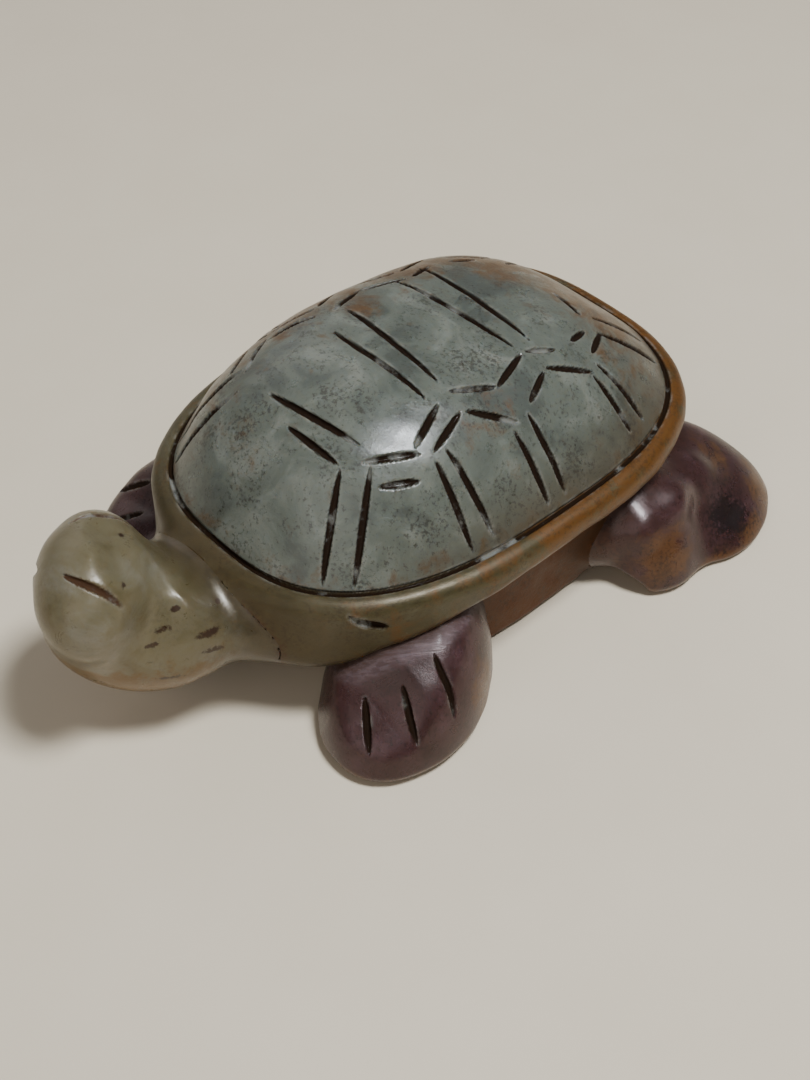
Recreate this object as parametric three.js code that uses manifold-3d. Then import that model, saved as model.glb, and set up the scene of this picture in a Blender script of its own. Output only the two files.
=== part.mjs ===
// A palm-sized jade tortoise, cut from one stone. The stone is held here as the regions that the
// carver's own grooves and creases mark off, each one a closed solid with a thin gap to its
// neighbours. Millimetres, +Z up, head towards -Y, the animal's left towards +X.
import * as THREE from 'three';
import { mergeVertices } from 'three/addons/utils/BufferGeometryUtils.js';
import Module from 'manifold-3d';

const wasm = await Module();
wasm.setup();

// ---- driving dimensions ----
const GAP = 0.3; // left between neighbouring regions of the stone
const SHELL_FRONT = 28.7; // girdle line to the middle of the shell, forwards
const SHELL_BACK = 23.3; // the same, backwards
const SHELL_HALF_WIDTH = 18.6;
const SHELL_SQUARENESS = 2.7; // power of the girdle's rounded-oblong outline
const GIRDLE_HEIGHT = 16.3; // groove between dome and rim, above the ground
const DOME_RISE = 11.1; // from the girdle to the top of the back
const DOME_FORWARD_TILT = 0.0127; // the dome gains this share of its rise for each mm forwards
const DOME_FULLNESS = 3.5; // power that keeps the back broad and the sides steep
const RIM_PROUD = 2.1; // rim stands out past the dome
const RIM_LOW = 12.8; // underside of the rim along the flanks
const RIM_FRONT_DROP = 4.6; // the rim deepens by this much at the front corners
const RIM_DROP_START = 8; // the deepening starts this far forwards of the middle
const RIM_DROP_LENGTH = 20;
const WALL_INSET = 1.6; // body wall under the rim, in from the dome's outline
const BELLY_FRONT_INSET = 3.4; // extra set-back of the body under the neck
const SHELL_POINTS = 60; // points round the shell

// ---- helpers ----
const { cos, sin, sign, abs, PI } = Math;
const at = (x, y, z) => new THREE.Vector3(x, y, z);
const signedPower = (value, power) => sign(value) * abs(value) ** power;
const smooth = (t) => THREE.MathUtils.smoothstep(t, 0, 1);

// Lays the rows of a sphere's points on a list of rings, from the top ring to the bottom one.
// A ring is a function of the angle round it; the first and the last are single points.
function loft(rings, around) {
  const geometry = new THREE.SphereGeometry(1, around, rings.length - 1);
  const points = geometry.attributes.position;
  rings.forEach((ring, row) => {
    for (let i = 0; i <= around; i++) {
      const { x, y, z } = ring((2 * PI * (i % around)) / around);
      points.setXYZ(row * (around + 1) + i, x, y, z);
    }
  });
  return geometry;
}

function solid(geometry) {
  const bare = geometry.clone();
  bare.deleteAttribute('normal');
  bare.deleteAttribute('uv');
  const welded = mergeVertices(bare, 1e-4);
  return new wasm.Manifold(new wasm.Mesh({
    numProp: 3,
    vertProperties: welded.attributes.position.array,
    triVerts: Uint32Array.from(welded.index.array),
  }));
}

function geometryOf(body) {
  const { vertProperties, triVerts } = body.getMesh();
  const geometry = new THREE.BufferGeometry();
  geometry.setAttribute('position', new THREE.BufferAttribute(vertProperties, 3));
  geometry.setIndex(new THREE.BufferAttribute(triVerts, 1));
  geometry.computeVertexNormals();
  return geometry;
}

// ---- the shell's outline and heights ----
function outline(angle, grow, share = 1) {
  const length = (sin(angle) < 0 ? SHELL_FRONT : SHELL_BACK) + grow;
  return {
    x: share * (SHELL_HALF_WIDTH + grow) * signedPower(cos(angle), 2 / SHELL_SQUARENESS),
    y: share * length * signedPower(sin(angle), 2 / SHELL_SQUARENESS),
  };
}

function domeHeight(x, y) {
  const length = y < 0 ? SHELL_FRONT : SHELL_BACK;
  const across = abs(x / SHELL_HALF_WIDTH) ** SHELL_SQUARENESS;
  const along = abs(y / length) ** SHELL_SQUARENESS;
  const share = Math.min(1, (across + along) ** (1 / SHELL_SQUARENESS));
  const rise = DOME_RISE * (1 - share ** DOME_FULLNESS) * (1 - DOME_FORWARD_TILT * y);
  return GIRDLE_HEIGHT + rise;
}

const rimUnderside = (y) =>
  RIM_LOW - RIM_FRONT_DROP * smooth((-y - RIM_DROP_START) / RIM_DROP_LENGTH);

// ---- cuts ground in with a thin wheel: a long lens set into the surface ----
function wheelCut(from, to, outward, width, depth) {
  const lens = new THREE.SphereGeometry(1, 6, 3);
  const along = to.clone().sub(from);
  const length = along.length();
  along.normalize();
  const side = outward.clone().cross(along).normalize();
  const up = along.clone().cross(side);
  const place = new THREE.Matrix4().makeBasis(along, side, up);
  place.scale(at(length / 2, width / 2, depth));
  place.setPosition(from.clone().add(to).multiplyScalar(0.5));
  return solid(lens.applyMatrix4(place));
}

// ---- carapace: the high dome of the back ----
const CUT_WIDTH = 0.9;
const CUT_DEPTH = 0.7;

// Seams of the scutes on the left half, each from one place on the back to another, x then y.
// Every seam is a pair of cuts: across the back, along the zigzag at the side of the back's row
// of six-sided scutes, and down the flank to the girdle.
const acrossTheBack = [
  [[0.4, -20.2], [6.9, -19.7]], [[0.4, -18], [7.3, -17.3]],
  [[0.4, -9.6], [7.6, -9.6]], [[0.4, -6.8], [6.9, -7.2]],
  [[0.4, 3.2], [7.1, 2.6]], [[0.4, 5], [7, 4.8]],
  [[1.3, 14.2], [5.6, 13.6]],
];
const zigzag = [
  [[8.4, -18], [11, -13.4]], [[10.6, -18.1], [13.2, -13.2]],
  [[10.4, -13.5], [8.6, -8.9]], [[11.5, -12.1], [10.2, -7.6]],
  [[8.1, -7.1], [9.8, -2.5]], [[10.3, -7.1], [13.1, -2.7]],
  [[9.9, -2.5], [8, 2.6]], [[12.2, -0.4], [10.5, 3.2]],
  [[7.9, 3.2], [8.9, 6.5]], [[10.2, 3.7], [12.1, 8.7]],
  [[8.6, 9.1], [7.8, 11.9]], [[10.4, 10.3], [8.3, 13.8]],
];
const downTheFlank = [
  [[7.3, -19.8], [10.6, -25]], [[9.1, -17.7], [12.8, -23.1]],
  [[11.9, -12.5], [17.2, -12.6]], [[11.8, -11], [17.4, -10.1]],
  [[13.4, -3.6], [17.8, -3.2]], [[12.8, -1.3], [17.9, -0.9]],
  [[12.3, 8.3], [16.8, 9.7]], [[11.4, 9.8], [16.2, 12.1]],
  [[8.2, 13.2], [11, 19.8]], [[6.1, 14.8], [8.2, 20.6]],
];

function seamCut([[x1, y1], [x2, y2]]) {
  const from = at(x1, y1, domeHeight(x1, y1));
  const to = at(x2, y2, domeHeight(x2, y2));
  const x = (x1 + x2) / 2;
  const y = (y1 + y2) / 2;
  const step = 0.5;
  const outward = at(
    domeHeight(x - step, y) - domeHeight(x + step, y),
    domeHeight(x, y - step) - domeHeight(x, y + step),
    2 * step,
  ).normalize();
  const bulge = domeHeight(x, y) - (from.z + to.z) / 2;
  from.z += bulge;
  to.z += bulge;
  return wheelCut(from, to, outward, CUT_WIDTH, CUT_DEPTH);
}

function carapace() {
  const shares = [0.2, 0.38, 0.52, 0.64, 0.74, 0.82, 0.88, 0.93, 0.965, 0.985, 1];
  const dome = shares.map((share) => (angle) => {
    const { x, y } = outline(angle, 0, share);
    return at(x, y, domeHeight(x, y));
  });
  const top = () => at(0, 0, domeHeight(0, 0));
  const underside = () => at(0, 0, GIRDLE_HEIGHT);
  let body = solid(loft([top, ...dome, underside], SHELL_POINTS));
  for (const seam of [...acrossTheBack, ...zigzag, ...downTheFlank]) {
    const mirrored = seam.map(([x, y]) => [-x, y]);
    body = body.subtract(seamCut(seam)).subtract(seamCut(mirrored));
  }
  return body;
}

// ---- shell rim: the rolled edge under the dome ----
const RIM_NICK = [[13.8, -24.8, 15.3], [16.7, -22.5, 14]]; // a stray cut at the left shoulder

function rimBlank(grow) {
  const top = GIRDLE_HEIGHT - GAP + grow;
  const flank = [[0, 0], [0.9, 0.4], [1.7, 1.1], [RIM_PROUD, 2.2]]; // out, down
  const upper = flank.map(([out, down]) => (angle) => {
    const { x, y } = outline(angle, out + grow);
    return at(x, y, top - down);
  });
  const under = (out, share) => (angle) => {
    const { x, y } = outline(angle, out + grow, share);
    return at(x, y, rimUnderside(y) - grow);
  };
  const lower = [0.875, 0.75, 0.625, 0.5, 0.375, 0.25, 0.125].map((share) => under(0.6, share));
  const rings = [
    () => at(0, 0, top), ...upper, under(1.5, 1), under(0.6, 1), ...lower,
    () => at(0, 0, rimUnderside(0) - grow),
  ];
  return solid(loft(rings, SHELL_POINTS));
}

function shellRim() {
  const outward = at(0.7, -0.45, 0.55).normalize();
  const nick = wheelCut(at(...RIM_NICK[0]), at(...RIM_NICK[1]), outward, CUT_WIDTH, CUT_DEPTH);
  return rimBlank(0).subtract(headBlank(GAP)).subtract(nick);
}

// ---- plastron: the belly and the body wall, with the flat ground face the stone rests on ----
function plastronBlank(grow) {
  const wall = (share, inset, z) => (angle) => {
    const { x, y } = outline(angle, grow - WALL_INSET - inset, share);
    const setBack = y < 0 ? BELLY_FRONT_INSET * (y / SHELL_FRONT) ** 2 : 0;
    return at(x, y + setBack, z(y + setBack));
  };
  const top = (y) => rimUnderside(y) - GAP + grow;
  const upper = [0.125, 0.25, 0.375, 0.5, 0.625, 0.75, 0.875, 1].map((share) => wall(share, 0, top));
  const ground = -grow;
  const rings = [
    () => at(0, 0, top(0)), ...upper,
    wall(1, 0.1, (y) => top(y) / 2),
    wall(1, 0.5, () => 1.2),
    wall(1, 1.4, () => ground),
    () => at(0, 0, ground),
  ];
  return solid(loft(rings, SHELL_POINTS));
}

// ---- head and neck: one swelling form, the head raised and turned to the animal's right ----
// Each station: place (x, forwards, up), half width, half depth, then the turn to the right and
// the lean back of the cross-section, in radians.
const HEAD_STATIONS = [
  [1, 18, 8.6, 0, 0, 0, 0], [1, 18.2, 8.6, 5.5, 3.6, 0, 0], [1.2, 24, 8.8, 7.4, 4.1, 0, 0.05],
  [1.1, 28, 9.1, 7.8, 4.5, 0.05, 0.15], [0.6, 31.5, 9.7, 7.4, 5, 0.15, 0.3],
  [-0.3, 34.5, 11.6, 7.8, 6.6, 0.25, 0.4], [-1.6, 37.2, 14.2, 8.2, 8.5, 0.4, 0.5],
  [-2.7, 39.8, 16.4, 7.9, 8.6, 0.5, 0.6], [-3.6, 41.8, 18, 6.6, 7.2, 0.55, 0.7],
  [-4.4, 43.3, 19.2, 4.5, 4.8, 0.6, 0.75], [-4.8, 44.1, 19.8, 2.3, 2.4, 0.6, 0.75],
  [-5, 44.4, 20, 0, 0, 0.6, 0.75],
];
const HEAD_TURN = 0.5; // of the face, to the right
const HEAD_CENTRE = [-1.6, -37.2];
const EYE_SLOT = [[-2.5, -43.9, 21.5], [3.5, -42, 21]]; // left eye, front to back
const MOUTH = [[-5.6, -44.6, 18.4], [-8.4, -42.2, 17.8]];
const HEAD_POINTS = 32;

function headBlank(grow) {
  const rings = HEAD_STATIONS.map(([x, forward, z, halfWidth, halfDepth, turn, lean]) => (angle) => {
    const wide = (halfWidth > 0 ? halfWidth + grow : 0) * -cos(angle);
    const deep = (halfWidth > 0 ? halfDepth + grow : 0) * sin(angle);
    const back = deep * sin(lean);
    return at(
      x + wide * cos(turn) + back * sin(turn),
      -forward - wide * sin(turn) + back * cos(turn),
      z + deep * cos(lean),
    );
  });
  return solid(loft(rings, HEAD_POINTS));
}

// A place on the left of the face to the same place on the right.
function acrossTheFace([x, y, z]) {
  const across = [cos(HEAD_TURN), -sin(HEAD_TURN)];
  const off = (x - HEAD_CENTRE[0]) * across[0] + (y - HEAD_CENTRE[1]) * across[1];
  return [x - 2 * off * across[0], y - 2 * off * across[1], z];
}

function faceCut([from, to], width, depth) {
  const middle = at(...from).add(at(...to)).multiplyScalar(0.5);
  const outward = middle.sub(at(...HEAD_CENTRE, 14.5)).normalize();
  return wheelCut(at(...from), at(...to), outward, width, depth);
}

function headAndNeck() {
  return headBlank(0)
    .subtract(carapaceBlank(GAP))
    .subtract(plastronBlank(GAP))
    .subtract(faceCut(EYE_SLOT, 1.2, 1))
    .subtract(faceCut(EYE_SLOT.map(acrossTheFace), 1.2, 1))
    .subtract(faceCut(MOUTH, 1, 1.2));
}

// The dome's lower edge, grown all round, as a tool that keeps the neck clear of it.
function carapaceBlank(grow) {
  const ring = (share) => (angle) => {
    const { x, y } = outline(angle, grow, share);
    return at(x, y, share === 1 ? GIRDLE_HEIGHT : domeHeight(x, y) + grow);
  };
  const rings = [
    () => at(0, 0, domeHeight(0, 0) + grow), ring(0.5), ring(0.8), ring(0.95), ring(1),
    (angle) => at(outline(angle, grow).x, outline(angle, grow).y, GIRDLE_HEIGHT - grow),
    () => at(0, 0, GIRDLE_HEIGHT - grow),
  ];
  return solid(loft(rings, SHELL_POINTS));
}

// ---- legs: stacked rounded sections, the last of them flat on the ground ----
const LEG_POINTS = 32;

// Each level: height, centre outwards, centre along, radius, stretch along the body.
function pad(side, levels) {
  const [first] = levels;
  const last = levels[levels.length - 1];
  const rings = levels.map(([z, x, y, radius, stretch]) => (angle) =>
    at(side * x + radius * cos(angle), y + radius * stretch * sin(angle), z));
  const cap = ([z, x, y]) => () => at(side * x, y, z);
  return solid(loft([cap(first), ...rings, cap(last)], LEG_POINTS));
}

const FRONT_LEG = [
  [12, 12.2, -15.5, 4.5, 1.2], [10, 13.4, -17, 6.6, 1.08], [8, 14.6, -18.3, 7.8, 1],
  [5.5, 15.9, -19.4, 8.7, 0.95], [3, 16.8, -20.1, 9.1, 0.94], [1.2, 17.1, -20.3, 8.9, 0.94],
  [0, 17.1, -20.3, 7.9, 0.94],
];
const FRONT_RIGHT_SQUAT = 0.85; // the right front foot is cut a little lower and narrower
const HIND_KNEE = [
  [11.5, 15.5, 11.8, 3.2, 1.4], [9.5, 16.8, 12, 4.4, 1.2], [7, 18, 12.2, 5.2, 1.1],
  [4, 18.9, 12.4, 5.7, 1.02], [1.5, 19.3, 12.4, 5.7, 0.98], [0, 19.3, 12.4, 4.8, 0.98],
];
const HIND_PADDLE = [
  [9.5, 14, 18.6, 3.5, 1.2], [8, 15.4, 19.6, 6, 1.05], [6, 16.8, 20.2, 7.2, 1],
  [3.5, 17.7, 20.7, 7.8, 0.97], [1.3, 18.1, 20.9, 7.8, 0.96], [0, 18.1, 20.9, 6.9, 0.96],
];
const TOE_CUT_WIDTH = 0.9;
const TOE_CUT_DEPTH = 1;
// Three slits down the outer face of each front foot, given on the left foot from top to bottom.
const TOE_CUTS = [
  [[16.6, -26.4, 7.3], [20.3, -28, 2.4]],
  [[19.3, -23.5, 8.6], [23.1, -25, 4.3]],
  [[19.8, -19.4, 9.8], [24.3, -21.1, 5.6]],
];

function freeOfTheBody(leg) {
  return leg.subtract(rimBlank(GAP)).subtract(plastronBlank(GAP));
}

function frontLeg(side) {
  const squat = side > 0 ? 1 : FRONT_RIGHT_SQUAT;
  const levels = FRONT_LEG.map(([z, x, y, radius, stretch]) =>
    [z * squat, x, y, radius * squat, stretch]);
  let body = freeOfTheBody(pad(side, levels)).subtract(headBlank(GAP));
  for (const [from, to] of TOE_CUTS) {
    const start = at(side * from[0], from[1], from[2] * squat);
    const end = at(side * to[0], to[1], to[2] * squat);
    const outward = at(start.x - side * FRONT_LEG[0][1], start.y - FRONT_LEG[0][2], 3).normalize();
    body = body.subtract(wheelCut(start, end, outward, TOE_CUT_WIDTH, TOE_CUT_DEPTH));
  }
  return body;
}

function hindLeg(side) {
  return freeOfTheBody(pad(side, HIND_KNEE).add(pad(side, HIND_PADDLE)));
}

// ---- tail: a short tapered stub under the back of the rim ----
function tail() {
  const stations = [
    [16, 7, 0, 0], [16.2, 7, 3.6, 2.8], [21, 6.2, 3.3, 2.6], [25, 4.8, 2.6, 2.1],
    [28, 3.4, 1.6, 1.4], [29.4, 2.7, 0, 0],
  ];
  const rings = stations.map(([back, height, halfWidth, halfDepth]) => (angle) =>
    at(halfWidth * cos(angle), back, height + halfDepth * sin(angle)));
  return freeOfTheBody(solid(loft(rings, 16)));
}

// ---- the assembly ----
const group = new THREE.Group();

function region(name, body, color, roughness) {
  const material = new THREE.MeshStandardMaterial({ color, roughness, metalness: 0 });
  const mesh = new THREE.Mesh(geometryOf(body), material);
  mesh.name = name;
  group.add(mesh);
}

region('carapace', carapace(), '#6f7a63', 0.28);
region('shell_rim', shellRim(), '#7a6a3c', 0.3);
region('plastron', plastronBlank(0), '#7d5424', 0.4);
region('head_and_neck', headAndNeck(), '#98976f', 0.25);
region('front_left_leg', frontLeg(1), '#4b3430', 0.25);
region('front_right_leg', frontLeg(-1), '#5d4026', 0.25);
region('hind_left_leg', hindLeg(1), '#3b2417', 0.25);
region('hind_right_leg', hindLeg(-1), '#3b2417', 0.25);
region('tail', tail(), '#4a2e1a', 0.3);

// The origin is the bottom centre of the whole carving.
const box = new THREE.Box3().setFromObject(group);
const middle = box.getCenter(at(0, 0, 0));
group.position.set(-middle.x, -middle.y, -box.min.z);

export default group;
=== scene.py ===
import math
import bpy
import numpy as np
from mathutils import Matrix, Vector


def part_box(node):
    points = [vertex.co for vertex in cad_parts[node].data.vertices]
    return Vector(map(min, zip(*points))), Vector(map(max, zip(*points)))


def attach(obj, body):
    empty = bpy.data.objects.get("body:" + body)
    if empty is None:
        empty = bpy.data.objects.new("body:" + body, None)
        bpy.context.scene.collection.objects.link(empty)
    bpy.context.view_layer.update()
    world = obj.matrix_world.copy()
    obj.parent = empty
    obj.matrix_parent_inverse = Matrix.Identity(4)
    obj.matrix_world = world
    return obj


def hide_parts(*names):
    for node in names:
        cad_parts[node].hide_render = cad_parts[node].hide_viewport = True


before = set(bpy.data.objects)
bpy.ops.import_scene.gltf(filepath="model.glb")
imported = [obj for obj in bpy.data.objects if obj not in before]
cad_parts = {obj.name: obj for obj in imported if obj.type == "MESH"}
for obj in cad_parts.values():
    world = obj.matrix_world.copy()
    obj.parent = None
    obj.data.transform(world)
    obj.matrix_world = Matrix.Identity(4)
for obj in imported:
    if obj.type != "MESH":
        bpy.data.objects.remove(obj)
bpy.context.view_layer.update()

MM = 0.001
SHELL_FRONT = 28.7  # from the middle of the shell to its girdle line, forwards
shell_low, shell_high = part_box("carapace")
shell_middle = Vector((
    (shell_low[0] + shell_high[0]) / 2,
    shell_low[1] + SHELL_FRONT * MM,
    0.0,
))
view_azimuth = math.radians(47.33)
view_height = math.radians(46.0)
view_distance = 186.8 * MM
looked_at = shell_middle + Vector((-0.1, -5.0, 0.0)) * MM
camera_back = Vector((
    math.sin(view_azimuth) * math.cos(view_height),
    -math.cos(view_azimuth) * math.cos(view_height),
    math.sin(view_height),
))
camera = bpy.data.objects.new("camera", bpy.data.cameras.new("camera"))
bpy.context.collection.objects.link(camera)
camera.data.lens = 58.27
camera.data.clip_start = 0.01
camera.location = looked_at + camera_back * view_distance
camera.rotation_euler = camera_back.to_track_quat("Z", "Y").to_euler()
bpy.context.scene.camera = camera

# ---------------------------------------------------------------- floor and light
# A pale studio table under one window overhead, with softer fills from the front and the back.
# The table lies a hair below the ground faces, so that the stone's soles stay whole.
FLOOR_HALF = 0.9
FLOOR_LEVEL = -0.00002


class Nodes:
    """A material's node tree, filled one node at a time."""

    def __init__(self, name, tree=None):
        if tree is None:
            self.material = bpy.data.materials.new(name)
            self.material.use_nodes = True
            tree = self.material.node_tree
        tree.nodes.clear()
        self.tree = tree

    def add(self, kind, settings=None, **inputs):
        node = self.tree.nodes.new(kind)
        for key, value in (settings or {}).items():
            setattr(node, key, value)
        for key, value in inputs.items():
            name = key.replace("_", " ")
            socket = node.inputs[int(key[1:])] if key[1:].isdigit() else node.inputs[name]
            if isinstance(value, bpy.types.NodeSocket):
                self.tree.links.new(value, socket)
            else:
                socket.default_value = value
        return node

    def number(self, operation, a, b=0.0, clamp=False):
        node = self.add("ShaderNodeMath", {"operation": operation, "use_clamp": clamp}, i0=a, i1=b)
        return node.outputs[0]

    def band(self, value, start, end, low=0.0, high=1.0):
        """Goes from low to high as the value goes from start to end."""
        node = self.add(
            "ShaderNodeMapRange", {"interpolation_type": "SMOOTHSTEP"},
            Value=value, From_Min=start, From_Max=end, To_Min=low, To_Max=high,
        )
        return node.outputs[0]

    def mix(self, share, a, b, blend="MIX"):
        node = self.add("ShaderNodeMix", {"data_type": "RGBA", "blend_type": blend})
        for socket, value in zip((node.inputs[0], node.inputs[6], node.inputs[7]), (share, a, b)):
            if isinstance(value, bpy.types.NodeSocket):
                self.tree.links.new(value, socket)
            else:
                socket.default_value = value if isinstance(value, float) else (*value, 1)
        return node.outputs[2]

    def noise(self, place, scale, detail=4.0, roughness=0.55, distortion=0.0):
        node = self.add(
            "ShaderNodeTexNoise", Vector=place, Scale=scale, Detail=detail,
            Roughness=roughness, Distortion=distortion,
        )
        return node.outputs["Fac"]

    def output(self, shader):
        self.add("ShaderNodeOutputMaterial", Surface=shader.outputs[0])
        return self.material


floor_mesh = bpy.data.meshes.new("floor")
floor_mesh.from_pydata([
    (-FLOOR_HALF, -FLOOR_HALF, FLOOR_LEVEL), (FLOOR_HALF, -FLOOR_HALF, FLOOR_LEVEL),
    (FLOOR_HALF, FLOOR_HALF, FLOOR_LEVEL), (-FLOOR_HALF, FLOOR_HALF, FLOOR_LEVEL),
], [], [(0, 1, 2, 3)])
floor = bpy.data.objects.new("floor", floor_mesh)
bpy.context.collection.objects.link(floor)
table = Nodes("table_top")
table_place = table.add("ShaderNodeTexCoord").outputs["Object"]
table_tone = table.mix(
    table.noise(table_place, 60.0), (0.66, 0.57, 0.43), (0.72, 0.63, 0.49),
)
floor_mesh.materials.append(table.output(
    table.add("ShaderNodeBsdfPrincipled", Base_Color=table_tone, Roughness=0.7),
))


def lamp(name, place, size, power, colour):
    data = bpy.data.lights.new(name, "AREA")
    data.size = size
    data.energy = power
    data.color = colour
    light = bpy.data.objects.new(name, data)
    light.location = place
    light.rotation_euler = Vector(place).to_track_quat("Z", "Y").to_euler()
    bpy.context.collection.objects.link(light)


lamp("window", (0.145, 0.04, 0.41), 0.09, 2.4, (0.92, 0.96, 1.0))
lamp("front_fill", (0.20, -0.56, 0.34), 0.60, 1.15, (1.0, 0.95, 0.88))
lamp("back_fill", (-0.50, 0.10, 0.35), 0.50, 0.5, (1.0, 0.95, 0.9))

world = bpy.data.worlds.new("room")
world.use_nodes = True
bpy.context.scene.world = world
room = Nodes("room", world.node_tree)
sky = room.add("ShaderNodeBackground", Color=(0.95, 0.96, 1.0, 1.0), Strength=0.17)
room.add("ShaderNodeOutputWorld", Surface=sky.outputs[0])

# ---------------------------------------------------------------- carapace
# The high domed back, the greenest part of the stone. It is ground to a smooth dome first, and
# the seams of the scutes are then cut in pairs with the edge of a thin wheel. Dirt fills them.
import openvdb

GIRDLE = 16.3  # height of the groove between dome and rim
HALF_WIDTH = 18.6
SHELL_BACK = 23.3
SQUARENESS = 2.7
DOME_RISE = 11.1
DOME_TILT = 0.0127
DOME_FULLNESS = 3.5


def shell_length(y):
    return np.where(y < 0, SHELL_FRONT, SHELL_BACK)


def shell_share(x, y):
    """How far out a place is, as a share of the way from the middle to the girdle."""
    total = np.abs(x / HALF_WIDTH) ** SQUARENESS + np.abs(y / shell_length(y)) ** SQUARENESS
    return np.maximum(total, 1e-6) ** (1 / SQUARENESS)


def past_girdle(x, y):
    """Distance outwards from the girdle's outline."""
    share = shell_share(x, y)
    length = shell_length(y)
    power = SQUARENESS - 1
    slope_x = (np.abs(x) / (HALF_WIDTH * share)) ** power / HALF_WIDTH
    slope_y = (np.abs(y) / (length * share)) ** power / length
    return (share - 1) / np.hypot(slope_x, slope_y)


def hand_work(x, y, z):
    """The slight waviness of a surface that was ground by hand."""
    broad = np.sin(0.41 * x + 0.9 * np.sin(0.23 * y)) * np.sin(0.37 * y + 0.5 * z + 1.0)
    fine = np.sin(0.93 * x - 0.5 * y + 2.0) * np.sin(0.81 * y + 1.1 * z)
    return 0.09 * broad + 0.04 * fine


def dome_height(x, y):
    rise = DOME_RISE * (1 - shell_share(x, y) ** DOME_FULLNESS)
    return GIRDLE + rise * (1 - DOME_TILT * y)


def dome_skin(x, y, z):
    share = shell_share(x, y)
    steepness = DOME_RISE * DOME_FULLNESS * share ** DOME_FULLNESS / (np.hypot(x, y) + 0.5)
    return (z - dome_height(x, y)) / np.sqrt(1 + steepness ** 2) + hand_work(x, y, z)


def above_girdle(x, y, z):
    return GIRDLE - z


def dome_form(x, y, z):
    return np.maximum(dome_skin(x, y, z), above_girdle(x, y, z))


def smooth_step(start, end, value):
    share = np.clip((value - start) / (end - start), 0, 1)
    return share ** 2 * (3 - 2 * share)


def blend(a, b, width):
    """Joins two forms with a fillet of about this width."""
    mix = np.clip(0.5 + 0.5 * (b - a) / width, 0, 1)
    return b + (a - b) * mix - width * mix * (1 - mix)


def slope_of(form, points, step=0.02):
    """How fast the form's distance grows along x, y and z."""
    return np.stack([
        (form(*(points + step * axis).T) - form(*(points - step * axis).T)) / (2 * step)
        for axis in np.eye(3)
    ], axis=1)


def onto(form, points, rounds=4):
    """Moves points square to a form until they lie on it."""
    points = points.copy()
    for _ in range(rounds):
        slope = slope_of(form, points)
        length = np.maximum((slope ** 2).sum(axis=1), 0.05)
        points -= np.clip(form(*points.T) / length, -0.3, 0.3)[:, None] * slope
    return points


class WheelCut:
    """A slit left by a thin wheel: a track lying on the stone, widest in its middle."""

    def __init__(self, form, start, end, width=0.33, sink=0.12, bend=0.0):
        share = np.linspace(0, 1, 9)[:, None]
        start, end = np.array(start, float), np.array(end, float)
        side = np.cross(end - start, (0, 0, 1.0))
        track = start + (end - start) * share + 4 * bend * side * share * (1 - share)
        track = onto(form, track, rounds=12)
        self.track = track - (0, 0, sink)
        self.width = width

    def distance(self, points):
        best = np.full(len(points), 9.0)
        count = len(self.track) - 1
        for i in range(count):
            a, b = self.track[i], self.track[i + 1]
            along = np.clip((points - a) @ (b - a) / ((b - a) @ (b - a)), 0, 1)
            share = (i + along) / count
            taper = np.maximum(1 - np.abs(2 * share - 1) ** 2.6, 0.01) ** 0.6
            gap = np.linalg.norm(points - a - along[:, None] * (b - a), axis=1)
            best = np.minimum(best, gap - self.width * taper)
        return best


class GirdleCut:
    """The groove that runs all round between dome and rim."""

    track = np.array([(-30.0, -40.0, 15.0), (30.0, 40.0, 17.5)])
    width = 0.27

    def distance(self, points):
        x, y, z = points.T
        return np.hypot(past_girdle(x, y) - 0.1, z - GIRDLE + 0.02) - self.width


def cut_distance(cuts, points, reach=1.2):
    nearest = np.full(len(points), 9.0)
    for cut in cuts:
        low = cut.track.min(axis=0) - reach
        high = cut.track.max(axis=0) + reach
        near = ((points > low) & (points < high)).all(axis=1).nonzero()[0]
        if len(near):
            nearest[near] = np.minimum(nearest[near], cut.distance(points[near]))
    return nearest


HAIRLINE = 0.01  # left between neighbouring regions, so that each is closed in itself
WORN_EDGE = 0.16  # rounding along the edges of a cut


def blots(points, *spots):
    """A soft mask from spots, each a place, a radius or three radii, and a strength."""
    mask = np.zeros(len(points))
    for place, radius, strength in spots:
        away = (points - place) / radius
        mask = np.maximum(mask, strength * np.exp(-(away ** 2).sum(axis=1)))
    return mask


def nearest_of(forms, x, y, z):
    nearest = np.full(x.shape, 9.0)
    for form in forms:
        nearest = np.minimum(nearest, form(x, y, z))
    return nearest


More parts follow.
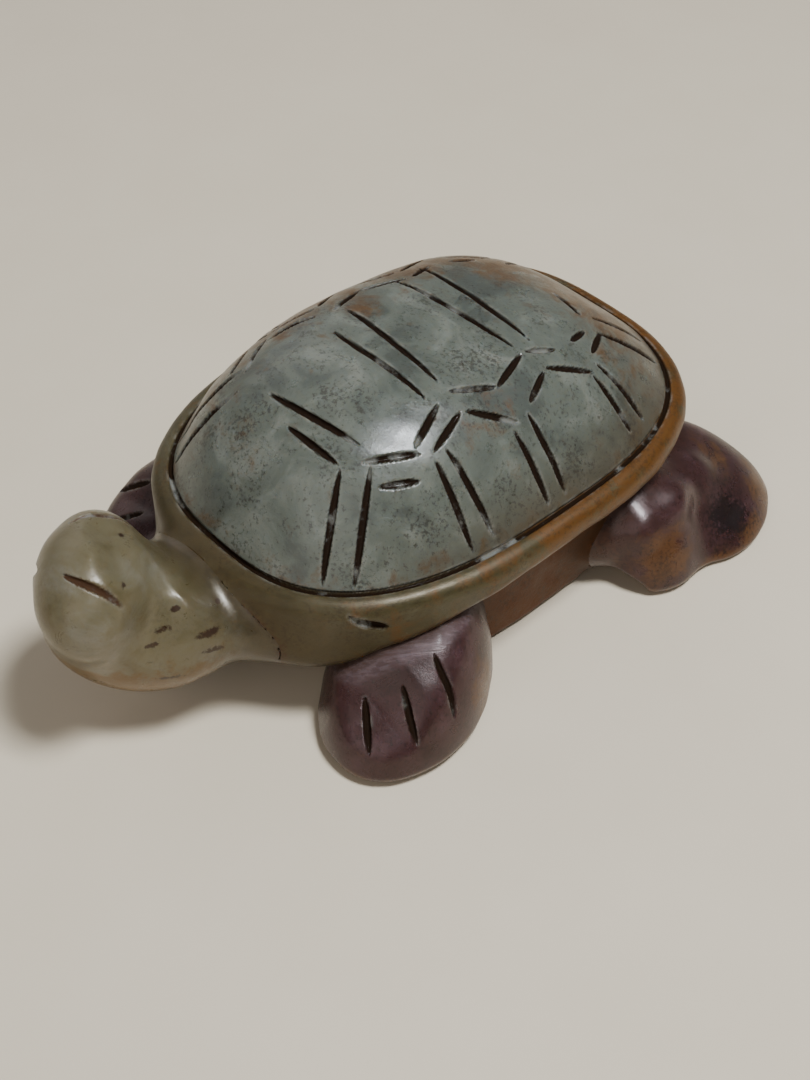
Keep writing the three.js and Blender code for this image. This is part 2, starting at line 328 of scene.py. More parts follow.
def stone_piece(name, skin, share, low, high, marks, clear_of=(), creases=(), cuts=(),
                grain=0.22):
    """Makes one region of the stone as a closed mesh. Its skin is the carved surface less the
    cuts; its share and the regions it stays clear of give the hidden faces inside the stone."""
    low = np.array(low, float)
    counts = np.ceil((np.array(high) - low) / grain).astype(int) + 1
    x, y, z = np.meshgrid(*(low[k] + grain * np.arange(counts[k]) for k in range(3)), indexing="ij")

    def carved(x, y, z):
        body = skin(x, y, z)
        near = np.abs(body) < 1.5
        points = np.stack([part[near] for part in (x, y, z)], axis=1)
        body[near] = -blend(-body[near], cut_distance(cuts, points), WORN_EDGE)
        return body

    def finished(x, y, z):
        body = np.maximum(carved(x, y, z), share(x, y, z))
        inside = body < 1.0
        picked = [part[inside] for part in (x, y, z)]
        body[inside] = np.maximum(body[inside], HAIRLINE - nearest_of(clear_of, *picked))
        return body

    values = np.clip(finished(x, y, z), -2, 2).astype(np.float32)
    grid = openvdb.FloatGrid(2.0)
    grid.copyFromArray(values)
    points, quads = grid.convertToQuads(isovalue=0.0)
    points = onto(finished, points.astype(float) * grain + low, rounds=3)
    edge = (np.abs(carved(*points.T)) < 0.6 * grain) & (np.abs(share(*points.T)) < 0.6 * grain)
    steep = np.linalg.norm(slope_of(share, points[edge]), axis=1) > 0.7
    edge[edge] = steep
    moved = points[edge]  # these are drawn onto the sharp line where skin and share meet
    for form in (carved, share) * 3:
        moved = onto(form, moved, rounds=1)
    close = np.linalg.norm(moved - points[edge], axis=1) < grain
    points[edge] = np.where(close[:, None], moved, points[edge])
    mesh = bpy.data.meshes.new(name)
    mesh.from_pydata((points * MM + np.array(shell_middle)).tolist(), [], quads.tolist())
    whole = skin(*points.T)
    cut = cut_distance(cuts, points)
    fields = {
        "dirt": np.clip((-whole - 0.02) / 0.14, 0, 1) * (cut < 0.2),
        # lip: the cut edges are paler, partly worn stone dust and partly a painted edge highlight
        "lip": np.exp(-(np.maximum(cut, 0) / 0.2) ** 2) * (whole > -0.08),
        # crease: darker near the neighbouring regions, a painted shade in the creases
        "crease": np.clip(1 - (nearest_of(creases, *points.T) - HAIRLINE) / 1.6, 0, 1),
    }
    fields.update(marks(points))
    for mark, amounts in fields.items():
        store = mesh.attributes.new(mark, "FLOAT", "POINT")
        store.data.foreach_set("value", amounts.astype(np.float32))
    seen = np.abs(carved(*points.T)) < 0.12
    facing = np.where(seen[:, None], slope_of(carved, points), slope_of(finished, points))
    facing /= np.maximum(np.linalg.norm(facing, axis=1), 1e-6)[:, None]
    mesh.shade_smooth()
    mesh.normals_split_custom_set_from_vertices(facing.tolist())
    piece = bpy.data.objects.new(name, mesh)
    bpy.context.collection.objects.link(piece)
    return piece


def on_dome(x1, y1, x2, y2, **shape):
    ends = [(x, y, float(dome_height(np.array(x), np.array(y)))) for x, y in ((x1, y1), (x2, y2))]
    return WheelCut(dome_skin, *ends, **shape)


across_the_back = [
    (0.4, -20.2, 6.9, -19.7), (-3.6, -18.9, 7.3, -17.3), (-4.9, -9.8, 7.6, -9.6),
    (-7.6, -6.2, 6.9, -7.2), (-8.6, 1.2, 7.1, 2.6), (-9.5, 5.3, 7, 4.8), (1.3, 14.2, 5.6, 13.6),
]
zigzag = [
    (8.4, -18, 11, -13.4), (10.6, -18.1, 12.4, -14.7), (10.4, -13.5, 8.6, -8.9),
    (11.5, -12.1, 10.2, -7.6), (8.1, -7.1, 9.8, -2.5), (10.3, -7.1, 13.1, -2.7),
    (9.9, -2.5, 8, 2.6), (12.2, -0.4, 10.5, 3.2), (7.9, 3.2, 8.9, 6.5),
    (10.2, 3.7, 12.1, 8.7), (8.6, 9.1, 7.8, 11.9), (10.4, 10.3, 8.3, 13.8),
]
down_the_flank = [
    (7.3, -19.8, 11, -25.5), (9.1, -17.7, 13.1, -23.5), (11.9, -12.5, 17.4, -12.6),
    (11.8, -11, 17.6, -10), (13.4, -3.6, 18.0, -3.2), (12.8, -1.3, 18.0, -0.9),
    (12.3, 8.3, 16.9, 9.7), (11.4, 9.8, 16.3, 12.1), (8.2, 13.2, 11.1, 19.9),
    (6.1, 14.8, 8.3, 20.6),
]
dome_cuts = [on_dome(*ends) for ends in across_the_back + zigzag + down_the_flank]
dome_cuts += [on_dome(-x1, y1, -x2, y2) for x1, y1, x2, y2 in zigzag + down_the_flank]
dome_cuts.append(GirdleCut())


def dome_marks(points):
    """Iron has stained the far side and the back end, and gathered just above the girdle."""
    x, y, z = points.T
    stain_and_warm_light = blots(
        points, ((-14, -17, 20), 7, 0.7), ((-12, -8, 22), (6, 8, 8), 0.85),
        ((-11, 5, 23), (6, 7, 8), 0.8), ((-8, 14, 22), (8, 6, 8), 0.85),
        ((3, 18, 21), (9, 6, 8), 0.9), ((11, -6.5, 25), (3, 6, 3), 0.35),
        ((-4, -22, 20), (5, 3, 5), 0.5), ((-6, -5, 27), (3, 3, 3), 0.5), ((12, 14, 20), 6, 0.45),
    )
    return {
        "stain_and_warm_light": np.maximum(stain_and_warm_light, 0.3 * smooth_step(19.5, 16.5, z)),
        # Painted shade: the lower front of the dome is darker, in a brown tone.
        "shoulder": 0.75 * smooth_step(23, 16.3, z) * smooth_step(-26, -4, y),
        "deep": blots(
            points, ((-8.5, -22.0, 20.4), (1.6, 0.5, 2), 0.9),
            ((-1.5, -24.4, 19), (0.4, 1.7, 2), 0.9),
            ((-16, -10, 20), (2, 7, 3), 0.5), ((0, 20, 20), (7, 2, 3), 0.4),
        ),
    }


carapace = stone_piece(
    "stone_carapace", dome_skin, above_girdle, (-19.4, -29.6, 15.6), (19.4, 24.2, 29.2),
    cuts=dome_cuts, marks=dome_marks,
)


DIRT = (0.012, 0.006, 0.003)
# Pale dust in the cuts and in specks; along the lips of the cuts it is also a painted highlight.
STONE_DUST_AND_HIGHLIGHT = (0.27, 0.27, 0.24)
# Brown of the shoulders where regions run into each other; on the dome's lower front it is a painted
# shade.
SHOULDER_BROWN = (0.046, 0.031, 0.011)


def jade(name, shades, stain_and_warm_light, deep, joint_and_shade_tone=SHOULDER_BROWN, filth=DIRT, specks=0.45,
         translucency=0.45, roughness=0.30, gloss=0.45, gleam=(1.0, 1.0, 1.0), coat=0.08):
    """Polished jade: clouds in three shades, then iron stains, specks, scratches and dirt, with painted
    shade, painted highlights and painted warm light where the marks call for them.
    """
    g = Nodes(name)
    place = g.add("ShaderNodeTexCoord").outputs["Object"]
    place = g.add("ShaderNodeVectorMath", {"operation": "SCALE"}, Vector=place, Scale=1000.0)
    place = place.outputs[0]
    mark = {
        key: g.add("ShaderNodeAttribute", {"attribute_name": key}).outputs["Fac"]
        for key in ("dirt", "lip", "crease", "stain_and_warm_light", "deep", "shoulder", "ground")
    }
    dark, middle, pale = shades
    clouds = g.noise(place, 0.17, detail=7.0, roughness=0.64, distortion=0.5)
    colour = g.mix(g.band(clouds, 0.36, 0.50), dark, middle)
    colour = g.mix(g.band(clouds, 0.50, 0.68), colour, pale)

    ragged = g.noise(place, 0.42, detail=10.0, roughness=0.74, distortion=0.4)
    # Warm tint: iron stain, and on the lowest parts a painted warm light from below.
    stained_and_warmed = g.number("ADD", ragged, g.number("MULTIPLY", mark["stain_and_warm_light"], 0.42))
    colour = g.mix(g.band(stained_and_warmed, 0.58, 0.80, 0.0, 0.92), colour, stain_and_warm_light)
    grains = g.noise(place, 2.6, detail=6.0, roughness=0.7)
    # The shoulder colour: brown where regions run into each other, and a painted shade on the dome's
    # lower front.
    joint_and_shade_colour = g.mix(g.band(ragged, 0.35, 0.65), tuple(0.7 * part for part in joint_and_shade_tone), joint_and_shade_tone)
    colour = g.mix(mark["shoulder"], colour, joint_and_shade_colour)
    # Deep colour: dark mottles and inclusions, and painted shade where a region's deep mark lies in an
    # undercut, valley or hollow.
    sunk = g.number("ADD", g.number("MULTIPLY", grains, 0.8), g.number("MULTIPLY", ragged, 0.4))
    sunk = g.number("ADD", sunk, g.number("MULTIPLY", mark["deep"], 0.6))
    colour = g.mix(g.band(sunk, 0.92, 1.12), colour, deep)

    drift = g.noise(place, 0.25, detail=3.0)
    dotted = g.number("ADD", grains, g.number("MULTIPLY", drift, 0.45))
    dotted = g.number("ADD", dotted, g.number("MULTIPLY", mark["stain_and_warm_light"], 0.05))
    colour = g.mix(g.band(dotted, 0.76, 0.88, 0.0, specks), colour, DIRT)
    chalk = g.number("SUBTRACT", grains, g.number("MULTIPLY", drift, 0.3))
    colour = g.mix(g.band(chalk, 0.50, 0.62, 0.0, 0.18), colour, STONE_DUST_AND_HIGHLIGHT)

    long_way = g.add(
        "ShaderNodeMapping", {"vector_type": "TEXTURE"}, Vector=place,
        Rotation=(0.1, 0.0, 0.95), Scale=(4.5, 0.3, 0.3),
    ).outputs[0]
    scratches = g.band(g.noise(long_way, 2.2, detail=3.0), 0.64, 0.74)
    # Pale rasped streaks, partly a painted highlight on faces turned to the light.
    rasped_and_lit_streaks = g.band(g.noise(long_way, 0.9), 0.40, 0.62, 0.3, 1.0)
    rasped_and_lit_streaks = g.number("MULTIPLY", mark["ground"], rasped_and_lit_streaks)
    colour = g.mix(g.number("MULTIPLY", rasped_and_lit_streaks, 0.28), colour, (0.24, 0.19, 0.21))

    # Painted shade: darker in the creases where a region meets its neighbours.
    creased = g.band(ragged, 0.3, 0.6, 0.6, 1.0)
    creased = g.number("MULTIPLY", g.band(mark["crease"], 0.1, 0.95), creased)
    colour = g.mix(g.number("MULTIPLY", creased, 0.9), colour, (0.03, 0.012, 0.004))
    # Paler along the lips of the cuts: worn stone dust and a painted edge highlight.
    worn_and_lit = g.noise(place, 0.55, detail=5.0)
    lip = g.number("MULTIPLY", mark["lip"], g.band(worn_and_lit, 0.42, 0.62), clamp=True)
    colour = g.mix(g.number("MULTIPLY", lip, 0.4), colour, STONE_DUST_AND_HIGHLIGHT)
    powdery = g.number("ADD", g.noise(place, 0.3, detail=2.0), g.number("MULTIPLY", grains, 0.25))
    filling = g.mix(g.band(powdery, 0.68, 0.84, 0.0, 0.6), filth, STONE_DUST_AND_HIGHLIGHT)
    colour = g.mix(mark["dirt"], colour, filling)

    rough = g.band(ragged, 0.3, 0.75, roughness - 0.04, roughness + 0.12)
    rougher = ((mark["dirt"], 0.6), (scratches, 0.16), (mark["ground"], 0.2), (creased, 0.3))
    for amount, share in rougher:
        rough = g.number("ADD", rough, g.number("MULTIPLY", amount, share), clamp=True)
    relief = g.number("MULTIPLY", ragged, 0.5)
    for amount, share in ((scratches, -0.3), (grains, 0.35), (rasped_and_lit_streaks, 0.6)):
        relief = g.number("ADD", relief, g.number("MULTIPLY", amount, share))
    bump = g.add("ShaderNodeBump", Strength=0.16, Distance=0.0004, Height=relief)
    dull = g.mix(g.number("MULTIPLY", mark["dirt"], 0.9), gleam, (0.1, 0.07, 0.05))
    shader = g.add(
        "ShaderNodeBsdfPrincipled", Base_Color=colour, Roughness=rough, Normal=bump.outputs[0],
        Specular_Tint=dull,
        IOR=1.61, Subsurface_Weight=translucency, Subsurface_Scale=0.0006, Coat_Weight=coat,
        Coat_Roughness=0.1, Specular_IOR_Level=gloss,
    )
    shader.inputs["Subsurface Radius"].default_value = (1.0, 0.6, 0.3)
    return g.output(shader)


def finish_piece(piece, node, material):
    piece.data.materials.append(material)
    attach(piece, "root")
    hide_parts(node)


DEEP_BROWN = (0.045, 0.018, 0.006)
finish_piece(carapace, "carapace", jade(
    "shell_green", ((0.062, 0.070, 0.058), (0.100, 0.111, 0.090), (0.160, 0.170, 0.142)),
    (0.090, 0.042, 0.010), DEEP_BROWN, specks=0.6,
))

# ---------------------------------------------------------------- shell rim
# The proud rolled edge below the girdle groove, deepest at the front corners. It keeps more of
# the pebble's honey-coloured skin. The neck passes through its front, and flows into it.
RIM_PROUD = 2.1
RIM_ROUNDING = 1.6
RIM_LOW = 12.8
RIM_INSIDE = 3.2  # how far in the ring goes, to the core of the body
NECK_FILLET = 3.5


def rim_underside(y):
    """The rim deepens steadily forwards, then drops at the front corners."""
    return RIM_LOW - 0.19 * np.clip(-y - 8, 0, 20) - 1.3 * smooth_step(22, 26, -y)


def rim_roll(x, y, z):
    out = past_girdle(x, y)
    low = rim_underside(y)
    half = (GIRDLE - HAIRLINE - low) / 2
    side = out - (RIM_PROUD - RIM_ROUNDING)
    up = np.abs(z - low - half) - (half - RIM_ROUNDING)
    corner = np.hypot(np.maximum(side, 0), np.maximum(up, 0))
    edge = corner + np.minimum(np.maximum(side, up), 0) - RIM_ROUNDING
    return edge + hand_work(x, y, z) * smooth_step(0, 1.5, GIRDLE - z)


def egg(parts, radii):
    """An egg's distance, from a place measured along its own three axes."""
    scaled = [part / radius for part, radius in zip(parts, radii)]
    reach = np.sqrt(sum(part ** 2 for part in scaled))
    steep = np.sqrt(sum((part / radius) ** 2 for part, radius in zip(scaled, radii)))
    return reach * (reach - 1) / np.maximum(steep, 1e-6)


HEAD_TURN = 0.7  # of the face, to the tortoise's right
HEAD_RAISE = 0.3
forwards = np.array((
    -math.sin(HEAD_TURN) * math.cos(HEAD_RAISE),
    -math.cos(HEAD_TURN) * math.cos(HEAD_RAISE),
    math.sin(HEAD_RAISE),
))
across = np.array((math.cos(HEAD_TURN), -math.sin(HEAD_TURN), 0.0))
upwards = np.cross(forwards, across)


def as_head_sees(middle, x, y, z):
    """The same place measured forwards, to the head's left, and up from a middle."""
    away = [x - middle[0], y - middle[1], z - middle[2]]
    return [sum(a * part for a, part in zip(axis, away)) for axis in (forwards, across, upwards)]


NECK_ROOT = 24  # forwards of the shell's middle, where the neck starts to rise
NECK_RISE_LENGTH = 12
NECK_END = 38
NECK_ASIDE = 1.2
NECK_HEIGHT = 8.9
NECK_HALF_WIDTH = 7.5
NECK_HALF_HEIGHT = 3.85
THROAT_MIDDLE = (-1.9, -38.0, 10.7)
THROAT_RADII = (8.6, 6.6, 6.5)
FACE_FILLET = 3.0


def neck_form(x, y, z):
    """The neck's tube and the full throat that carries the head."""
    ahead = np.clip((-y - NECK_ROOT) / NECK_RISE_LENGTH, 0, 1)
    rise = ahead ** 2
    half_height = NECK_HALF_HEIGHT + 1.8 * rise
    ring = np.hypot(
        (x - NECK_ASIDE + 2.6 * rise) / (NECK_HALF_WIDTH + 0.4 * ahead),
        (z - NECK_HEIGHT - 3.8 * rise) / half_height,
    )
    tube = (ring - 1) * half_height * 0.85
    tube = np.maximum(-blend(-tube, y + NECK_END, 4.0), y + 14)
    throat = egg(as_head_sees(THROAT_MIDDLE, x, y, z), THROAT_RADII)
    return blend(throat, tube, FACE_FILLET)


def rim_skin(x, y, z):
    return blend(neck_form(x, y, z), rim_roll(x, y, z), NECK_FILLET)


def rim_share(x, y, z):
    """The rim's own part of the stone, up to the valley where the neck leaves it."""
    apart = rim_roll(x, y, z) - neck_form(x, y, z)
    return np.maximum(apart, -RIM_INSIDE - past_girdle(x, y))


def rim_form(x, y, z):
    return np.maximum(rim_skin(x, y, z), rim_share(x, y, z))


def near_neck(points, reach=4.5):
    """The brown shoulder, where neck and rim run into each other."""
    apart = np.abs(neck_form(*points.T) - rim_roll(*points.T))
    return np.exp(-(apart / reach) ** 2)


def rim_marks(points):
    x, y, z = points.T
    above = z - rim_underside(y)
    honey = 0.3 + 0.4 * smooth_step(-18, 0, y)
    return {
        # Honey skin, more of it towards the back; the rim's lowest part is painted warmer, partly skin
        # and partly painted warm light from below.
        "stain_and_warm_light": np.maximum(honey, 0.75 * smooth_step(3.6, 0.4, above)) * (1 - near_neck(points)),
        # Painted shade: darker along the rim's lower edge and in the near valley by the neck.
        "deep": np.maximum(0.5 * smooth_step(1.4, 0.2, above), 0.75 * near_neck(points, 0.8) * (x > 6)),
        "shoulder": near_neck(points),
    }


rim_nick = WheelCut(rim_roll, (13.8, -24.8, 15.0), (16.7, -22.5, 13.6), width=0.45, sink=0.05)
shell_rim = stone_piece(
    "stone_rim", rim_skin, rim_share, (-21.6, -31.8, 6.6), (21.6, 26.2, 17.4),
    clear_of=(dome_form,), cuts=(GirdleCut(), rim_nick), marks=rim_marks,
)
honey_skin = jade(
    "honey_skin", ((0.034, 0.031, 0.013), (0.049, 0.042, 0.018), (0.078, 0.072, 0.040)),
    (0.100, 0.036, 0.004), DEEP_BROWN, roughness=0.38, gloss=0.35, gleam=(1.0, 0.85, 0.65),
    coat=0.02,
)
finish_piece(shell_rim, "shell_rim", honey_skin)

# ---------------------------------------------------------------- head and neck
# The palest part of the stone: an egg-shaped head, raised and turned to the tortoise's right,
# on a full throat. Eyes and mouth are single wheel cuts, and the crown keeps ground facets.
SKULL_MIDDLE = (-2.86, -41.22, 17.45)
SKULL_RADII = (5.2, 7.6, 5.9)
FACETS = [  # middle x, y, z and radius of the shallow hollows on the crown and nape
    (-2.2, -37.4, 24.6, 2.9), (1.4, -38.4, 23.6, 2.9), (3.0, -35.4, 21.2, 2.8),
    (-3.6, -29.8, 18.4, 2.2), (-0.2, -29.6, 17.8, 2.2),
]


def face_form(x, y, z):
    skull = egg(as_head_sees(SKULL_MIDDLE, x, y, z), SKULL_RADII)
    face = blend(skull, neck_form(x, y, z), FACE_FILLET)
    for fx, fy, fz, radius in FACETS:
        hollow = np.sqrt((x - fx) ** 2 + (y - fy) ** 2 + (z - fz) ** 2) - radius
        face = -blend(-face, hollow, 1.5)
    return face


def head_skin(x, y, z):
    wave = hand_work(x, y, z) * smooth_step(32, 36, -y)
    return blend(face_form(x, y, z), rim_roll(x, y, z), NECK_FILLET) + wave


def head_share(x, y, z):
    apart = neck_form(x, y, z) - rim_roll(x, y, z) + HAIRLINE
    return np.maximum(np.where(y > -33, apart, -9.0), -RIM_INSIDE - 2 - past_girdle(x, y))


def head_form(x, y, z):
    return np.maximum(head_skin(x, y, z), head_share(x, y, z))


def on_face(place):
    """A place given from the skull's middle: forwards, to its left, and up."""
    parts = zip((forwards, across, upwards), place)
    return np.array(SKULL_MIDDLE) + sum(axis * part for axis, part in parts)


EYE_WIDTH = 0.34
MOUTH_WIDTH = 0.5
eye = ((2.9, 3.1, 4.1), (-2.7, 4.9, 3.2))  # both ends of the cut, as the head sees them
mouth = ((4.9, 0.9, 1.6), (4.2, -2.8, -2.4))
head_cuts = [
    WheelCut(face_form, *map(on_face, eye), width=EYE_WIDTH, sink=0.1),
    WheelCut(face_form, *(on_face((a, -b, c)) for a, b, c in eye), width=EYE_WIDTH, sink=0.1),
    WheelCut(face_form, *map(on_face, mouth), width=MOUTH_WIDTH, sink=0.0),
    GirdleCut(),
]


STREAKS = [  # short dark inclusions on the left cheek and throat: middle, radii, strength
    ((-2.6, -37.2, 21.9), 0.35, 1.3), ((4.3, -37.1, 16.8), (0.4, 0.6, 0.3), 1.5),
    ((4.6, -32.8, 14.9), 0.35, 1.5), ((5.5, -28.8, 12.7), (0.6, 0.8, 0.4), 1.3),
    ((4.6, -38.7, 15.4), (1.1, 1.3, 0.4), 1.0), ((4.4, -40.1, 14.0), (1.0, 1.2, 0.35), 1.0),
    ((6.4, -35.4, 13.9), (1.6, 1.8, 0.5), 1.0), ((6.9, -35.3, 12.1), (1.6, 1.8, 0.45), 1.0),
    ((4.6, -39.0, 10.0), (2.2, 2.2, 0.4), 0.95), ((1.6, -41.0, 20.4), (0.9, 0.6, 0.3), 0.9),
]


def head_marks(points):
    x, y, z = points.T
    places = onto(head_skin, np.array([streak[0] for streak in STREAKS]), rounds=8)
    streaks = [(place, *streak[1:]) for place, streak in zip(places, STREAKS)]
    towards_shell = smooth_step(-39, -30, y) * smooth_step(18, 10, z)
    return {
        # Brown stain towards the shell; the lower head is painted warm, partly stain and partly painted
        # warm light from below.
        "stain_and_warm_light": np.maximum(0.3 * towards_shell, smooth_step(14, 7, z)) * (1 - near_neck(points)),
        # Dark inclusions from the streaks, and painted shade in the near valley by the rim.
        "deep": np.maximum(blots(points, *streaks), 0.75 * near_neck(points, 0.8) * (x > 6)),
        "shoulder": np.maximum(near_neck(points), 0.8 * towards_shell),
        # Pale rasped patches under the nape, partly a painted highlight.
        "ground": blots(
            points, ((-3.2, -29.6, 15.6), (2.2, 1.6, 2), 0.8), ((0.4, -29.4, 14.6), (2, 1.5, 2), 0.7),
        ),
    }


head = stone_piece(
    "stone_head_and_neck", head_skin, head_share, (-12.4, -48.0, 3.0), (13.0, -12.8, 25.0),
    clear_of=(dome_form,), cuts=head_cuts, marks=head_marks,
)
finish_piece(head, "head_and_neck", jade(
    "head_celadon", ((0.098, 0.078, 0.034), (0.128, 0.108, 0.060), (0.165, 0.150, 0.110)),
    (0.130, 0.068, 0.012), (0.026, 0.010, 0.004), filth=(0.055, 0.026, 0.013), specks=0.15,
    translucency=0.6, gleam=(1.0, 0.92, 0.80),
))

# ---------------------------------------------------------------- plastron
# The core of the body: a wall set back under the rim and a belly ground flat. The wall shows the
# pebble's orange-brown skin. It swells into the knees, over a small arch in front of each.
WALL_INSET = 1.6
GROUND_EDGE = 1.2


def column(x, y, z, foot, head, radius, top, stretch, fullness, edge, turn):
    """A leg's round column, from its foot on the ground to its hidden head."""
    share = np.clip(z / top, 0, 1)
    lean = share ** 1.6
    away_x = x - foot[0] - (head[0] - foot[0]) * lean
    away_y = y - foot[1] - (head[1] - foot[1]) * lean
    short = away_x * math.cos(turn) + away_y * math.sin(turn)
    long = away_y * math.cos(turn) - away_x * math.sin(turn)
    width = radius * np.maximum(1 - share ** fullness, 1e-4) ** 0.6
    above = np.maximum(z - top, 0)
    side = np.sqrt(short ** 2 + (long / stretch) ** 2 + above ** 2) - width + edge
    down = edge - z
    corner = np.hypot(np.maximum(side, 0), np.maximum(down, 0))
    return corner + np.minimum(np.maximum(side, down), 0) - edge


def rod(x, y, z, start, end, radius):
    start, along = np.array(start), np.array(end) - np.array(start)
    away = [x - start[0], y - start[1], z - start[2]]
    share = np.clip(sum(a * part for a, part in zip(along, away)) / (along @ along), 0, 1)
    return np.sqrt(sum((part - share * a) ** 2 for a, part in zip(along, away))) - radius


KNEE = {
    "foot": (19.0, 12.8), "head": (15.8, 12.0), "radius": 5.45, "top": 11.0,
    "stretch": 1.2, "fullness": 2.4, "edge": 1.4, "turn": 0.6,
}
PADDLE = {
    "foot": (19.9, 22.5), "head": (11.0, 19.2), "radius": 5.5, "top": 9.4,
    "stretch": 1.5, "fullness": 1.8, "edge": 1.2, "turn": 0.43,
}
THIGH = ((14.5, 9.5, 5.6), (17.2, 19.0, 4.6))
THIGH_RADIUS = 3.6
HIND_CREST = [(17.6, 6.2, 5.0), (19.6, 9.4, 7.2), (19.8, 13.6, 7.6), (17.0, 19.4, 6.2)]
CREST_RADIUS = 0.9
HOLLOW_MIDDLE = (25.0, 20.4, 7.0)  # of the dip between knee and paddle
HOLLOW_RADIUS = 3.6


def hind_leg_blank(x, y, z):
    x = np.abs(x)
    leg = blend(column(x, y, z, **KNEE), column(x, y, z, **PADDLE), 2.0)
    leg = blend(leg, rod(x, y, z, *THIGH, THIGH_RADIUS), 2.5)
    for start, end in zip(HIND_CREST, HIND_CREST[1:]):
        leg = blend(leg, rod(x, y, z, start, end, CREST_RADIUS), 2.6)
    away = [part - middle for part, middle in zip((x, y, z), HOLLOW_MIDDLE)]
    hollow = np.sqrt(sum(part ** 2 for part in away)) - HOLLOW_RADIUS
    return -blend(-leg, hollow, 1.5)


WALL_SET_BACK = 0.0165  # how fast the wall falls back from the rim's outline, forwards
WALL_TAPER = 0.04


def wall_blank(x, y, z):
    shortened = np.sqrt(np.maximum(1 + WALL_SET_BACK * y, 0.05))
    source = np.where(y < 0, (shortened - 1) / (WALL_SET_BACK / 2), y)
    taper = WALL_TAPER * np.clip(9 - z, 0, 9)
    side = past_girdle(x, source) + WALL_INSET + GROUND_EDGE + taper
    down = GROUND_EDGE - z
    corner = np.hypot(np.maximum(side, 0), np.maximum(down, 0))
    return corner + np.minimum(np.maximum(side, down), 0) - GROUND_EDGE


ARCH_MIDDLE = (19.0, 6.6)
ARCH_RADII = (4.2, 3.0, 2.6)


def arch(x, y, z):
    """The small hollow cut under the wall just in front of each knee."""
    parts = (np.abs(x) - ARCH_MIDDLE[0], y - ARCH_MIDDLE[1], z)
    away = sum((part / radius) ** 2 for part, radius in zip(parts, ARCH_RADII))
    return (np.sqrt(away) - 1) * ARCH_RADII[2]


KNEE_FILLET = 4.0


def standing(form, x, y, z):
    """The ground face stays flat: handwork fades out towards it."""
    return form + hand_work(x, y, z) * np.clip(z, 0, 1)


def flank_skin(x, y, z):
    """Body wall and hind legs run into each other."""
    joint_and_shade_colour = blend(wall_blank(x, y, z), hind_leg_blank(x, y, z), KNEE_FILLET)
    return np.maximum(standing(-blend(-joint_and_shade_colour, arch(x, y, z), 0.6), x, y, z), -z)


def body_share(x, y, z):
    apart = wall_blank(x, y, z) - hind_leg_blank(x, y, z)
    return np.maximum(apart, z - GIRDLE + HAIRLINE)


def body_form(x, y, z):
    return np.maximum(flank_skin(x, y, z), body_share(x, y, z))


def near_knee(points, reach=3.5):
    """Wall and hind leg run into each other here, in one colour."""
    apart = np.abs(wall_blank(*points.T) - hind_leg_blank(*points.T))
    return np.exp(-(apart / reach) ** 2)


def body_marks(points):
    return {
        "stain_and_warm_light": np.full(len(points), 0.6),
        "shoulder": near_knee(points),
        # Painted shade: the wall darkens just under the rim.
        "deep": 0.75 * smooth_step(3.2, 0.4, rim_underside(points[:, 1]) - points[:, 2]),
    }


KNEE_BROWN = (0.036, 0.012, 0.004)
plastron = stone_piece(
    "stone_plastron", flank_skin, body_share, (-20.6, -27.4, -0.6), (20.6, 22.6, 16.8),
    clear_of=(rim_form, head_form), creases=(rim_form,), grain=0.3, marks=body_marks,
)
finish_piece(plastron, "plastron", jade(
    "wall_skin", ((0.036, 0.010, 0.001), (0.058, 0.016, 0.001), (0.090, 0.029, 0.002)),
    (0.070, 0.018, 0.001), (0.018, 0.006, 0.002), joint_and_shade_tone=KNEE_BROWN, roughness=0.45, gloss=0.2,
    gleam=(1.0, 0.6, 0.35), coat=0.0,
))

# ---------------------------------------------------------------- legs
# Four legs, all in the darkest purple-brown skin and ground flat to stand on. The front feet are
# round paddles with three toe cuts; each hind leg is a bent knee with a paddle foot behind it.
FRONT_LEG = {
    "foot": (15.9, -19.8), "head": (14.2, -15.3), "radius": 8.0, "top": 13.6,
    "stretch": 1.4, "fullness": 2.3, "edge": 1.6, "turn": 0.45,
}
FRONT_RIGHT_SQUAT = 0.85  # this leg is lower than its partner
LEDGE_SLOPE = 0.5


def front_leg_skin(side, squat):
    """A round column, ground off to a sloping ledge under the rim."""
    def skin(x, y, z):
        x = side * x
        leg = column(x, y, z / squat, **FRONT_LEG)
        ledge = z / squat - rim_underside(y) - 0.1 + LEDGE_SLOPE * (past_girdle(x, y) - RIM_PROUD)
        return standing(-blend(-leg, -ledge, 1.1), x, y, z)
    return skin


def no_share(x, y, z):
    """For a region that flows into no other one."""
    return np.full(x.shape, -9.0)


toe_cuts = [
    ((17.3, -26.2, 7.2), (20.6, -28.5, 3.7)), ((19.5, -23.5, 8.6), (23.2, -25.0, 4.5)),
    ((19.6, -19.5, 9.8), (23.7, -20.6, 5.2)),
]


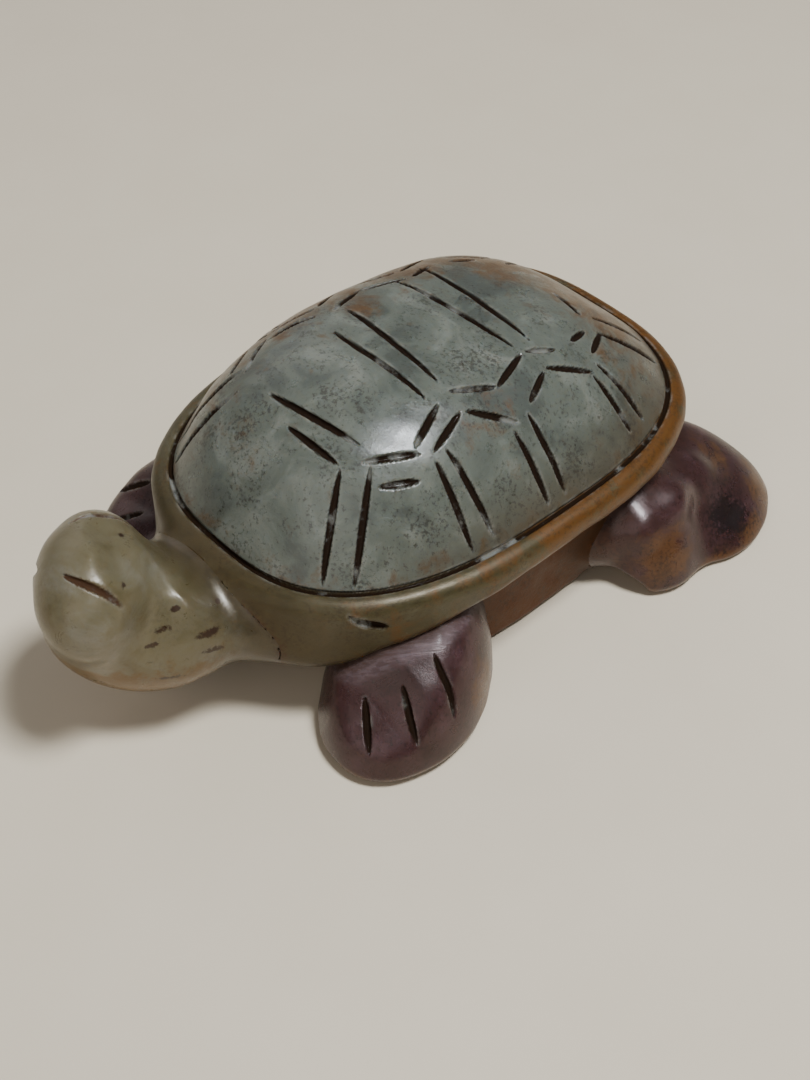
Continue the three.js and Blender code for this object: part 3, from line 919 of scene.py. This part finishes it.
def leg_marks(points):
    """The thin lowest edges are painted an orange glow, and the ledge under the rim is rasped, not
    polished, and painted paler as a highlight.
    """
    x, y, z = points.T
    x = np.abs(x)
    shoulder_height = rim_underside(y) - 1.4 + LEDGE_SLOPE * (past_girdle(x, y) - RIM_PROUD)
    points = np.stack([x, y, z], axis=1)
    return {
        # The lowest edges are painted orange, a painted glow of thin stone; the blots add orange-tan
        # patches.
        "stain_and_warm_light": np.maximum(
            0.9 * smooth_step(2.4, 0, z),
            blots(
                points, ((23.2, 9.6, 4.6), (2.6, 3.4, 3.0), 1.0), ((23.0, 27.5, 2), (4, 3, 4), 0.9),
                ((26, 22, 2), (2, 4, 3), 0.9), ((17.0, 6.8, 5), (2.5, 2.5, 4), 0.8),
                ((22.8, -14.5, 4), (2.5, 3, 4), 0.8), ((18, 23.5, 7), (3, 2, 2), 0.6),
            ),
        ),
        # Dark mottles all over, and the paddle's hollow darkened with painted shade.
        "deep": 0.5 + blots(points, ((23.2, 20.0, 4), (2.6, 2.6, 2.6), 0.5)),
        "shoulder": near_knee(points) * (y > 0),
        # The ledge is rasped, and painted paler as a highlight.
        "ground": smooth_step(-0.2, 0.9, z - shoulder_height) * (y < 0),
    }


dark_skin = jade(
    "leg_skin", ((0.024, 0.009, 0.007), (0.038, 0.015, 0.014), (0.064, 0.030, 0.032)),
    (0.090, 0.037, 0.011), (0.008, 0.004, 0.004), joint_and_shade_tone=KNEE_BROWN, translucency=0.3,
    roughness=0.28, gloss=0.35, gleam=(1.0, 0.85, 0.85),
)
for side, squat, node in ((1, 1.0, "front_left_leg"), (-1, FRONT_RIGHT_SQUAT, "front_right_leg")):
    skin = front_leg_skin(side, squat)
    cuts = [
        WheelCut(
            skin, *((side * x, y, z * squat) for x, y, z in ends), width=0.34, sink=0.1,
        ) for ends in toe_cuts
    ]
    low_x, high_x = sorted((side * 6.5, side * 27.0))
    leg = stone_piece(
        "stone_" + node, skin, no_share, (low_x, -31.6, -0.6), (high_x, -5.0, 13.2),
        clear_of=(rim_form, head_form, body_form), creases=(rim_form, body_form), cuts=cuts,
        marks=leg_marks,
    )
    finish_piece(leg, node, dark_skin)


def hind_leg_share(side):
    def share(x, y, z):
        apart = hind_leg_blank(x, y, z) - wall_blank(x, y, z) + HAIRLINE
        return np.maximum(apart, 3 - side * x)
    return share


for side, node in ((1, "hind_left_leg"), (-1, "hind_right_leg")):
    low_x, high_x = sorted((side * 6.0, side * 27.4))
    leg = stone_piece(
        "stone_" + node, flank_skin, hind_leg_share(side), (low_x, 2.0, -0.6), (high_x, 31.4, 13.0),
        clear_of=(rim_form,), creases=(rim_form,), marks=leg_marks,
    )
    finish_piece(leg, node, dark_skin)

# ---------------------------------------------------------------- tail
# A short tapered stub in the same dark skin as the legs. It was left standing when the hind feet
# were cut free, and it runs in under the back of the rim.


def tail_form(x, y, z):
    back = np.clip((y - 16) / 13.2, 0, 1)
    width = 3.6 * np.maximum(1 - back ** 2.6, 1e-4) ** 0.5
    ring = np.hypot(x, (z - 7.2 + 4.4 * back ** 1.5) * 1.25) - width
    return np.maximum(np.maximum(ring * 0.8, y - 29.2), 15 - y) + hand_work(x, y, z)


tail = stone_piece(
    "stone_tail", tail_form, no_share, (-4.6, 14.4, -0.6), (4.6, 29.8, 11.6),
    clear_of=(rim_form, flank_skin),
    creases=(rim_form, body_form), marks=leg_marks,
)
finish_piece(tail, "tail", dark_skin)
